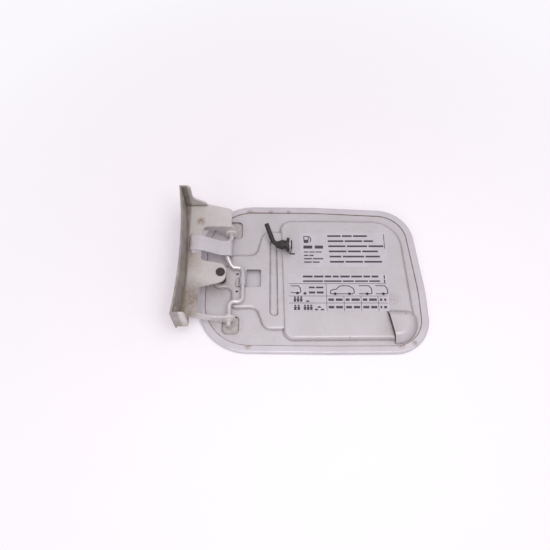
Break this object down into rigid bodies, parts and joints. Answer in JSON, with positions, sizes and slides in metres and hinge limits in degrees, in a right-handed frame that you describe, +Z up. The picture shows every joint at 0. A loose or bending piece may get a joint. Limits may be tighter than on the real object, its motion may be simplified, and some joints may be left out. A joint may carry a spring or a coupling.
{
  "type": "fuel filler flap",
  "caption": "Car fuel filler flap in silver paint, inner side up, with folded hinge bracket, bent hinge wire, leaf spring, latch hood, label plates and a rubber tether end.",
  "frame": {"origin": "middle of the part's footprint on the table, under the flap's outer face", "axes": "X across the flap from hinge bracket to latch, Y along the hinge line, Z up from the outer face"},
  "size_m": [0.2059, 0.1374, 0.051],
  "materials": {
    "skin_paint": "silver body paint",
    "panel_paint": "silver body paint",
    "bracket_paint": "silver body paint with dirt",
    "wire_paint": "silver body paint over steel wire",
    "spring_steel": "silver paint over spring steel",
    "bush_plastic": "pale plastic",
    "black_rubber": "matt black rubber",
    "label_film": "printed film"
  },
  "bodies": {
    "flap": {"outer_skin": "skin_paint", "inner_panel": "panel_paint", "hinge_wire": "wire_paint", "tether_plug": "black_rubber", "fuel_label": "label_film", "pressure_label": "label_film"},
    "bracket": {"hinge_bracket": "bracket_paint", "upper_bush": "bush_plastic", "lower_bush": "bush_plastic", "stop_buffer": "black_rubber"},
    "leaf": {"leaf_spring": "spring_steel"}
  },
  "joints": [
    {"name": "flap_hinge", "type": "hinge", "parent": "flap", "child": "bracket", "pos_m": [-0.062, 0, 0.01], "axis": [0, 1, 0], "range_deg": [0, 90]},
    {"name": "leaf_seat", "type": "hinge", "parent": "bracket", "child": "leaf", "pos_m": [-0.0956, 0.021, 0.015], "axis": [0, 1, 0], "range_deg": [0, 9]}
  ],
  "couplings": [
    {"joint": "leaf_seat", "follows": "flap_hinge", "ratio": 0.0989}
  ]
}
